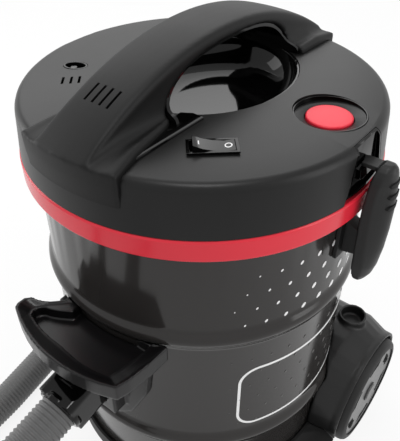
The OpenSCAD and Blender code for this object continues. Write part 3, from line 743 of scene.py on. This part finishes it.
    def panel(self, side: int) -> None:
        """Lay the glossy panel that tapers along one side of the front foot."""
        start, end = self.panel_mm
        rings = []
        for step in range(31):
            share = step / 30
            y = start + (end - start) * share
            near, far = self.panel_out_mm
            outer = near + (far - near) * share
            middle, half_x, half_y = self.well_mm
            rim = half_x * math.sqrt(max(0.0, 1 - ((y - middle) / half_y) ** 2))
            inner = min(max(self.skirt(y) - 3.0, rim), outer - 1.5)
            top = self.panel_top_mm - 1.6 * share
            shell = [(outer, top - 5.0), (outer, top - 1.2), (outer - 0.4, top - 0.4),
                     (outer - 1.2, top), (inner, top), (inner, top - 5.0)]
            rings.append([(side * x, y, z) for x, z in shell])
        name = "handle_panel_" + ("right" if side > 0 else "left")
        own_piece(name, self.prism(name, rings), GLOSS_ABS, degrees=30.0)


@dataclass
class Controls:
    """The rocker switch's marks and the rewind button's sloping seat."""

    axis: Vector
    switch_mm: float = 121.5
    switch_deg: float = 41.8
    switch_z_mm: float = 478.0
    rocker_tilt_deg: float = 8.0
    # the face's height in its middle, then run and rise to its bend and on to its tip
    rocker_face_mm: float = 3.6
    rocker_bend_mm: tuple[float, float] = (9.0, 0.8)
    rocker_tip_mm: tuple[float, float] = (7.6, 2.0)
    # underside and top of the ink against the face
    mark_mm: tuple[float, float] = (-0.15, 0.12)
    button_mm: tuple[float, float] = (124.6, 15.5)
    well_mm: float = 31.6
    button_r_mm: float = 20.3
    button_top_mm: float = 476.2
    seat_high_deg: float = -20.0
    seat_lift_mm: float = 2.6
    spring_foot_mm: float = 454.8

    def on_rocker(self, along: float, across: float, up: float) -> Vector:
        """Return a point over the rocker: along its length, across it, and above its face."""
        tilt = math.radians(self.rocker_tilt_deg)
        (bend, rise), (past, lift) = self.rocker_bend_mm, self.rocker_tip_mm
        height = self.rocker_face_mm + up
        if abs(along) < bend:
            height += rise * abs(along) / bend
        else:
            height += rise + lift * (abs(along) - bend) / past
        x = along * math.cos(tilt) + height * math.sin(tilt)
        z = -along * math.sin(tilt) + height * math.cos(tilt)
        turn = math.radians(self.switch_deg)
        centre = Vector((self.switch_mm * math.sin(turn), -self.switch_mm * math.cos(turn),
                         self.switch_z_mm))
        offset = Vector((x * math.cos(turn) - across * math.sin(turn),
                         x * math.sin(turn) + across * math.cos(turn), z))
        return self.axis + (centre + offset) * MM

    def marks(self) -> None:
        """Print the on and off signs on the rocker's two halves."""
        low, high = self.mark_mm
        corners = ((-12.2, -2.6), (-11.2, -2.6), (-11.2, 2.6), (-12.2, 2.6))
        bar = [[self.on_rocker(a, b, h) for a, b in corners] for h in (low, high)]
        rings = []
        for step in range(32):
            turn = math.tau * step / 32
            rings.append([self.on_rocker(11.6 + r * math.cos(turn), 1.12 * r * math.sin(turn), h)
                          for r, h in ((2.0, low), (3.0, low), (3.0, high), (2.0, high))])
        for name, mesh in (("switch_mark_on", ring_mesh("switch_mark_on", bar)),
                           ("switch_mark_off", ring_mesh("switch_mark_off", rings, wrap=True))):
            own_piece(name, mesh, WHITE_INK, "rocker")

    def seat(self) -> None:
        """Slope the button's seat up towards the head's outer side, inside the well."""
        centre = self.axis + Vector((*self.button_mm, 0.0)) * MM
        inner, outer, foot = self.button_r_mm + 0.9, self.well_mm - 1.6, 470.7
        rings = []
        for step in range(72):
            turn = math.tau * step / 72
            share = 0.5 + 0.5 * math.cos(turn - math.radians(self.seat_high_deg))
            lift = self.seat_lift_mm * share
            section = ((inner, foot), (outer, foot), (outer, 474.6 + 1.5 * lift),
                       (self.button_r_mm + 1.6, 474.2 + 0.3 * lift), (inner, 473.7 + 0.3 * lift))
            rings.append([centre + polar(r, turn, z) for r, z in section])
        mesh = ring_mesh("button_seat", rings, wrap=True)
        own_piece("button_seat", mesh, HEAD_ABS, degrees=35.0)

    def button(self) -> None:
        """Turn the rewind button: a flat disc with a rolled edge, nearly level with the head."""
        centre = self.axis + Vector((*self.button_mm, 0.0)) * MM
        radius, top = self.button_r_mm, self.button_top_mm
        edge = [(radius - 1.8 + 1.8 * math.cos(math.radians(a)),
                 top - 1.4 + 1.4 * math.sin(math.radians(a))) for a in range(0, 91, 15)]
        section = [(0.0, 464.0), (radius, 464.0), *edge, (radius * 0.5, top + 0.25), (0.0, top + 0.3)]
        mesh = turned("button_cap", centre, section, 96)
        piece = own_piece("button_cap", mesh, BUTTON_ABS, "button", 35.0)
        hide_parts("rewind_button")

    def spring(self, nodes: dict[str, Object]) -> None:
        """Stand a copy of the return spring in its node's place, fixed to the chassis."""
        coil = new_piece("button_coil", nodes["button_spring"].data.copy(), STEEL)
        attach(coil, FIXED)
        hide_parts("button_spring")
        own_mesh(coil)

    def build(self, nodes: dict[str, Object]) -> None:
        """Make the marks, the seat, the button and its spring."""
        self.marks()
        self.seat()
        self.button()
        self.spring(nodes)


@dataclass
class LatchGrips:
    """The grip grooves across each lever's thumb end, as bars coloured dark with the grooves' painted
    shade.
    """

    axis: Vector
    pin_mm: tuple[float, float] = (185.0, 378.0)
    heights_mm: tuple[float, ...] = (47.0, 58.0, 69.0)
    reach_mm: tuple[float, ...] = (15.7, 15.1, 13.9)
    half_mm: float = 9.0
    line_mm: float = 2.3
    bow_mm: float = 2.2
    sunk_mm: float = 2.2
    proud_mm: float = 0.25

    def build(self) -> None:
        """Lay three lines on the left and on the right lever."""
        for side, sign in (("left", -1), ("right", 1)):
            for index, (height, reach) in enumerate(zip(self.heights_mm, self.reach_mm)):
                rings = []
                for step in range(13):
                    share = -1 + step / 6
                    end = math.sqrt(max(0.0, 1 - abs(share) ** 6))
                    half = max(0.08, self.line_mm * end)
                    face = self.pin_mm[0] + (reach - self.bow_mm * abs(share) ** 2.2)
                    middle = self.pin_mm[1] + height
                    corners = ((face - self.sunk_mm, middle - half), (face + self.proud_mm, middle - half),
                               (face + self.proud_mm, middle + half), (face - self.sunk_mm, middle + half))
                    rings.append([self.axis + Vector((sign * x, self.half_mm * share, z)) * MM
                                  for x, z in corners])
                # each line is a thin bar whose dark colour is painted shade of a groove
                name = f"grip_{side}_{index + 1}"
                own_piece(name, ring_mesh(name, rings), GROOVE_SHADE_PP, f"lever_{side}")


# ---------------------------------------------------------------- studio


def seen_rays(tree: NodeTree, path: Node) -> NodeSocket:
    """Return one for rays that the eye follows: straight, mirrored or passed through.

    Args:
        tree: the node tree.
        path: its Light Path node.
    """
    mirrored = worked_out(tree, "MAXIMUM", path.outputs["Is Camera Ray"], path.outputs["Is Glossy Ray"])
    return worked_out(tree, "MAXIMUM", mirrored, path.outputs["Is Transmission Ray"])


@dataclass
class Studio:
    """Pale floor, soft boxes and the camera, placed from the drum's axis."""

    axis: Vector
    lens_mm: float = 47.1
    eye_right_m: float = 0.3072
    eye_front_m: float = 0.3932
    eye_height_m: float = 0.715
    look: tuple[float, float, float] = (-0.4802, 0.6093, -0.6311)
    floor_size_m: float = 14.0
    fill: float = 0.55
    floor_glow: float = 0.86

    def build(self) -> None:
        """Make the camera first, then the world, the floor and the lamps."""
        self.camera()
        self.world()
        self.floor()
        self.lamps()

    def camera(self) -> None:
        """Stand the camera ahead of the machine, to its right, looking down."""
        data = bpy.data.cameras.new("studio_camera")
        data.lens = self.lens_mm
        data.sensor_width = 36.0
        data.clip_start = 0.01
        camera = link(bpy.data.objects.new("studio_camera", data))
        camera.location = self.axis + Vector((self.eye_right_m, -self.eye_front_m, self.eye_height_m))
        camera.rotation_euler = Vector(self.look).to_track_quat("-Z", "Y").to_euler()
        bpy.context.scene.camera = camera

    def world(self) -> None:
        """Light everything evenly, and show white to the eye and in reflections."""
        world = bpy.data.worlds.new("studio_world")
        bpy.context.scene.world = world
        world.use_nodes = True
        tree = world.node_tree
        background = next(n for n in tree.nodes if n.type == "BACKGROUND")
        background.inputs["Color"].default_value = (1.0, 1.0, 1.0, 1.0)
        path = add_node(tree, "ShaderNodeLightPath")
        level = add_node(tree, "ShaderNodeMapRange", Value=seen_rays(tree, path))
        level.inputs["To Min"].default_value = self.fill
        level.inputs["To Max"].default_value = 1.0
        tree.links.new(level.outputs["Result"], background.inputs["Strength"])

    def floor(self) -> None:
        """Lay a pale floor that reads white and keeps the machine's shadow."""
        mesh = bpy.data.meshes.new("studio_floor")
        half = self.floor_size_m / 2
        mesh.from_pydata([(-half, -half, 0), (half, -half, 0), (half, half, 0), (-half, half, 0)],
                         [], [(0, 1, 2, 3)])
        floor = link(bpy.data.objects.new("studio_floor", mesh))
        material = bpy.data.materials.new("studio_paper")
        material.use_nodes = True
        tree = material.node_tree
        tree.nodes.clear()
        path = add_node(tree, "ShaderNodeLightPath")
        paper = add_node(tree, "ShaderNodeBsdfDiffuse", Color=srgb("#f4f4f4"))
        glow = add_node(tree, "ShaderNodeEmission", Color=(1.0, 1.0, 1.0, 1.0), Strength=1.0)
        share = worked_out(tree, "MULTIPLY", seen_rays(tree, path), self.floor_glow)
        blend = add_node(tree, "ShaderNodeMixShader", Fac=share,
                         Shader_0=paper.outputs["BSDF"], Shader_1=glow.outputs["Emission"])
        add_node(tree, "ShaderNodeOutputMaterial", Surface=blend.outputs["Shader"])
        mesh.materials.append(material)
        floor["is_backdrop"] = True

    def lamps(self) -> None:
        """Hang the soft boxes: a wide one behind, one each side and a small one overhead."""
        top = self.axis + Vector((0.0, 0.0, 0.45))
        self.soft_box("back_box", top + Vector((-1.3, 1.2, 1.6)), top, 2.6, 1.6, 24.0)
        self.soft_box("right_box", top + Vector((1.9, 0.5, 0.5)), top, 0.8, 1.8, 12.0)
        self.soft_box("over_box", top + Vector((0.25, -0.35, 1.7)), top, 0.5, 0.5, 9.0)
        self.soft_box("left_box", top + Vector((-1.7, -0.7, 0.4)), top, 0.8, 1.8, 12.0)

    def soft_box(self, name: str, place: Vector, target: Vector, wide: float, high: float,
                 watts: float) -> None:
        """Hang one soft box that faces a target.

        Args:
            name: the lamp's name.
            place: where it hangs.
            target: the point that it faces.
            wide: its width in metres.
            high: its height in metres.
            watts: its power.
        """
        data = bpy.data.lights.new(name, "AREA")
        data.shape = "RECTANGLE"
        data.size = wide
        data.size_y = high
        data.energy = watts
        lamp = link(bpy.data.objects.new(name, data))
        lamp.location = place
        lamp.rotation_euler = (target - place).to_track_quat("-Z", "Y").to_euler()


# ---------------------------------------------------------------- hose


@dataclass
class HoseRun:
    """The corrugated hose on its way from the connector round to its far cuff."""

    axis: Vector
    diameter_mm: float = 42.0
    pitch_mm: float = 4.8
    rib_mm: float = 1.5
    route_mm: tuple[tuple[float, float, float], ...] = (
        (0, -227.3, 213.9), (0, -262, 206.5), (-1, -298, 197.5), (0, -335, 185), (5, -372, 168),
        (14, -409, 146), (26, -445, 120.5), (41, -481, 93), (58, -518, 67), (77, -557, 44),
        (95, -598, 28), (107, -643, 21.2), (104, -692, 21.2), (84, -738, 21.2),
        (45, -778, 21.2), (-8, -803, 21.2), (-67, -808, 21.2), (-126, -796, 21.2),
        (-178, -763, 21.2), (-215, -710, 21.2), (-230, -648, 21.2), (-226, -590, 21.2),
        (-216, -530, 21.2), (-204, -465, 21.2), (-193, -400, 21.2), (-185, -335, 21.2),
        (-183, -270, 21.2), (-187, -205, 21.2), (-195, -155, 21.2), (-204, -108, 21.2),
        (-219, -50, 21.2), (-232, 10, 21.2), (-239, 75, 23), (-241, 140, 23),
    )

    def route(self) -> list[Vector]:
        """Return the centre line in metres, eased through the chosen points."""
        points = [self.axis + Vector(p) * MM for p in self.route_mm]
        line: list[Vector] = []
        for index in range(len(points) - 1):
            before = points[max(index - 1, 0)]
            start, end = points[index], points[index + 1]
            after = points[min(index + 2, len(points) - 1)]
            for step in range(8):
                t = step / 8
                line.append(0.5 * ((2 * start) + (end - before) * t
                                   + (2 * before - 5 * start + 4 * end - after) * t ** 2
                                   + (3 * start - before - 3 * end + after) * t ** 3))
        line.append(points[-1])
        return line

    def build(self, nodes: dict[str, Object]) -> Object:
        """Args:
            nodes: the frame's nodes by name.

        Returns:
            The hose.
        """
        line = self.route()
        curve = bpy.data.curves.new("hose_route", "CURVE")
        curve.dimensions = "3D"
        spline = curve.splines.new("POLY")
        spline.points.add(len(line) - 1)
        for point, place in zip(spline.points, line):
            point.co = (*place, 1.0)
        mesh = grown("hose_route", curve, self.rib_tree())
        mesh.shade_smooth()
        cuff = stand_in("hose_cuff", nodes)
        hose = new_piece("hose_ribbed", mesh, EVA_HOSE)
        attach(hose, FIXED)
        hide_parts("hose")
        return hose

    def rib_tree(self) -> NodeTree:
        """Return the tree that sweeps a circle whose radius swells at each rib."""
        tree, sizes = sized_tree("hose_ribs", {
            "Rib pitch": self.pitch_mm * MM, "Rib height": self.rib_mm * MM,
            "Outer radius": (self.diameter_mm / 2 - 0.25) * MM})
        pitch = sizes.outputs["Rib pitch"]
        even = add_node(tree, "GeometryNodeResampleCurve", {"mode": "LENGTH"},
                        Curve=sizes.outputs["Geometry"], Length=worked_out(tree, "DIVIDE", pitch, 6.0))
        along = add_node(tree, "GeometryNodeSplineParameter")
        turns = worked_out(tree, "DIVIDE", along.outputs["Length"], pitch)
        wave = worked_out(tree, "COSINE", worked_out(tree, "MULTIPLY", turns, math.tau))
        groove = worked_out(tree, "MULTIPLY_ADD", wave, 0.5, -0.5)
        radius = worked_out(tree, "MULTIPLY_ADD", groove, sizes.outputs["Rib height"],
                            sizes.outputs["Outer radius"])
        circle = add_node(tree, "GeometryNodeCurvePrimitiveCircle", Resolution=28, Radius=1.0)
        sweep = add_node(tree, "GeometryNodeCurveToMesh", Curve=even.outputs["Curve"],
                         Profile_Curve=circle.outputs["Curve"], Scale=radius, Fill_Caps=True)
        close_tree(tree, sweep.outputs["Mesh"], EVA_HOSE)
        return tree


# ---------------------------------------------------------------- whole


@dataclass
class Vacuum:
    """The whole machine: its CAD nodes and the pieces made over them."""

    frame: dict
    own: tuple[str, ...] = ("hose", "hose_cuff", "handle_cover", "rewind_button", "button_spring")

    def finish_nodes(self) -> None:
        """Give every CAD node its finish, and roll the edges of those in view."""
        nodes, record = self.frame["nodes"], self.frame["record"]
        bodies = {n: body for body, names in record["behaviour"]["bodies"].items() for n in names}
        for name, node in nodes.items():
            dress(node, of_node(NODE_FINISH, name))
            if name not in self.own:
                stand_in(name, nodes, bodies[name])


@dataclass
class DrumPrint:
    """The white print on the drum: a field of dots that grow, and a plain outline."""

    axis: Vector
    drum_mm: float = 163.0
    first_deg: float = 48.15
    step_deg: float = 7.22
    columns: int = 13
    upper_z_mm: tuple[float, ...] = (375.9, 356.3, 336.5, 316.7)
    lower_z_mm: tuple[float, ...] = (264.3, 243.8, 223.5, 202.4, 181.4, 160.0, 138.4)
    frame_deg: tuple[float, float] = (51.4, 128.6)
    frame_z_mm: tuple[float, float] = (155.5, 249.5)
    frame_corner_mm: float = 21.0
    line_mm: float = 3.0
    ink_mm: float = 0.25
    dot_mm: float = 2.7
    dot_growth: float = 0.18
    dot_fade: float = 0.023
    dot_least_mm: float = 0.8
    dot_lean_deg: float = 58.0
    smallest_deg: float = 51.7
    mirror_deg: float = 190.0
    straight_mm: float = 5.0

    def dot_tree(self, finish: Finish) -> NodeTree:
        """Return the tree that stands a leaning oval on every point, sized by its attribute."""
        tree, sizes = sized_tree("dot_field", {"Ink thickness": self.ink_mm * MM, "Oval share": 0.62})
        disc = add_node(tree, "GeometryNodeMeshCylinder", Vertices=12, Radius=0.5, Depth=1.0)
        turn = add_node(tree, "GeometryNodeInputNamedAttribute", {"data_type": "FLOAT_VECTOR"}, Name="turn")
        size = add_node(tree, "GeometryNodeInputNamedAttribute", {"data_type": "FLOAT"}, Name="size")
        long = size.outputs["Attribute"]
        scale = add_node(tree, "ShaderNodeCombineXYZ", X=long, Z=sizes.outputs["Ink thickness"],
                         Y=worked_out(tree, "MULTIPLY", long, sizes.outputs["Oval share"]))
        stood = add_node(tree, "GeometryNodeInstanceOnPoints", Points=sizes.outputs["Geometry"],
                         Instance=disc.outputs["Mesh"], Rotation=turn.outputs["Attribute"],
                         Scale=scale.outputs["Vector"])
        close_tree(tree, stood.outputs["Instances"], finish)
        return tree

    def on_wall(self, degrees: float, z_mm: float, out_mm: float = 0.0) -> Vector:
        """Return a point of the drum's wall, from its turn past the front and its height."""
        turn = math.radians(degrees)
        radius = (self.drum_mm + out_mm) * MM
        return self.axis + Vector((math.sin(turn) * radius, -math.cos(turn) * radius, z_mm * MM))

    def dots(self, name: str, rows: tuple[float, ...], share: float, finish: Finish) -> None:
        """Print one staggered field of dots.

        Args:
            name: the piece's name.
            rows: heights of the rows.
            share: how large the dots are against the full size.
            finish: the ink.
        """
        places, turns, sizes = [], [], []
        for row, height in enumerate(rows):
            for column in range(self.columns):
                degrees = self.first_deg + (column + 0.5 * (row % 2)) * self.step_deg
                past = min(degrees, self.mirror_deg - degrees) - self.smallest_deg
                above = max(height - self.upper_z_mm[-1], 0.0)
                size = (self.dot_mm + self.dot_growth * past - self.dot_fade * above) * share
                if size < self.dot_least_mm:
                    continue
                places.append(self.on_wall(degrees, height, self.ink_mm / 2))
                face = Matrix.Rotation(math.radians(degrees), 4, "Z") @ Matrix.Rotation(math.pi / 2, 4, "X")
                lean = Matrix.Rotation(math.radians(self.dot_lean_deg), 4, "Z")
                turns.append((face @ lean).to_euler())
                sizes.append(size * MM)
        mesh = bpy.data.meshes.new(name)
        mesh.from_pydata(places, [], [])
        mesh.attributes.new("turn", "FLOAT_VECTOR", "POINT").data.foreach_set(
            "vector", [c for t in turns for c in t])
        mesh.attributes.new("size", "FLOAT", "POINT").data.foreach_set("value", sizes)
        own_piece(name, grown(name, mesh, self.dot_tree(finish)), finish)

    def outline(self) -> None:
        """Print the plain rounded outline as a thin band along the wall."""
        low, high = self.frame_z_mm
        wide = math.radians(self.frame_deg[1] - self.frame_deg[0]) * self.drum_mm
        corner = self.frame_corner_mm
        centres = ((wide - corner, high - corner, 0), (corner, high - corner, 90),
                   (corner, low + corner, 180), (wide - corner, low + corner, 270))
        path = [(x, z, math.radians(start + 9 * i)) for x, z, start in centres for i in range(11)]
        near, far = corner - self.line_mm / 2, corner + self.line_mm / 2
        section = ((near, 0.02), (far, 0.02), (far, self.ink_mm), (near, self.ink_mm))
        rings = []
        for here, there in zip(path, path[1:] + path[:1]):
            parts = max(1, int(abs(there[0] - here[0]) / self.straight_mm))
            for part in range(parts):
                x, z, turn = (a + (b - a) * part / parts for a, b in zip(here, there))
                ring = []
                for reach, out in section:
                    along = (x + reach * math.cos(turn)) / self.drum_mm
                    ring.append(self.on_wall(self.frame_deg[0] + math.degrees(along),
                                             z + reach * math.sin(turn), out))
                rings.append(ring)
        own_piece("drum_outline", ring_mesh("drum_outline", rings, wrap=True), WHITE_INK)

    def build(self) -> None:
        """Print the dots above and below, and the outline."""
        self.dots("drum_dots_upper", self.upper_z_mm, 1.0, WHITE_INK)
        self.dots("drum_dots_lower", self.lower_z_mm, 0.55, GREY_INK)
        self.outline()


def drum_axis() -> Vector:
    """Return the point on the floor under the drum's axis, from the ring."""
    low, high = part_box("drum_ring")
    return Vector(((low.x + high.x) / 2, (low.y + high.y) / 2, 0.0))


def main() -> None:
    """Build the scene in order: frame, camera, hose, then each sub-assembly."""
    logging.basicConfig(level=logging.INFO, format="%(name)s: %(message)s")
    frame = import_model()
    bpy.context.scene.view_settings.view_transform = "Standard"
    axis = drum_axis()
    Studio(axis).build()
    HoseRun(axis).build(frame["nodes"])
    Vacuum(frame).finish_nodes()
    CarryHandle(axis).build()
    Controls(axis).build(frame["nodes"])
    LatchGrips(axis).build()
    DrumPrint(axis).build()
    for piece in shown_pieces():
        LOG.info("%s: %d faces", piece.name, len(piece.data.polygons))


if __name__ == "__main__":
    main()
